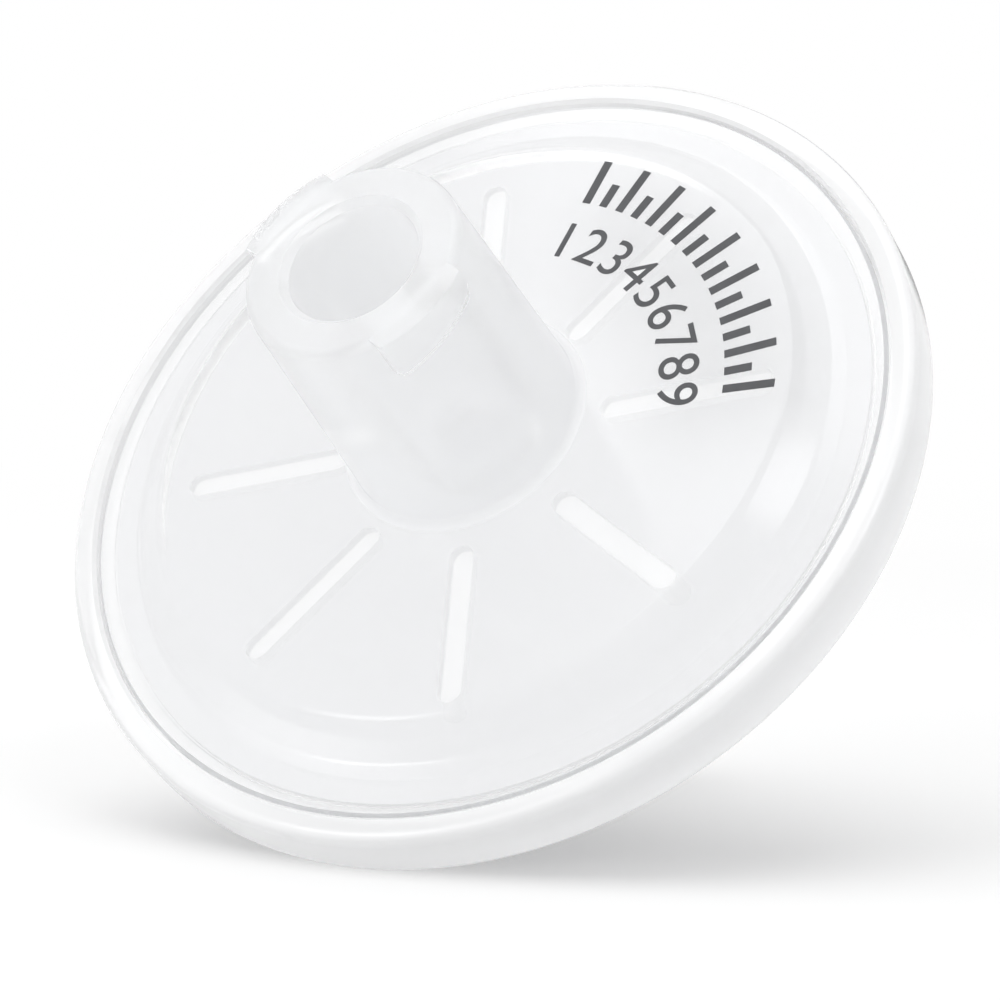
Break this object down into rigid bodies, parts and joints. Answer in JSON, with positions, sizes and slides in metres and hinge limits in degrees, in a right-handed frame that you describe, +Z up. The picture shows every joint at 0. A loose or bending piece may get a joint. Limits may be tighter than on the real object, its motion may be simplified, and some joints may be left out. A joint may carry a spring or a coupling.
{
  "type": "syringe filter",
  "caption": "Disc syringe filter of milky plastic, with a female luer lock inlet on a raised round cap and a tapered luer slip outlet below, lying on its rim and outlet tip.",
  "frame": {"origin": "middle of the base of the box round the filter as it lies, on the surface that carries it", "axes": "+Z up; the filter's own axis lies in the Y-Z plane, with the inlet raised towards -Y and the outlet tip down towards +Y; X runs across the disc"},
  "size_m": [0.029, 0.0248, 0.0239],
  "materials": {
    "housing": "satin",
    "membrane": "matte"
  },
  "bodies": {
    "root": {"upper_housing": "housing", "lower_housing": "housing", "membrane": "membrane"}
  },
  "joints": []
}
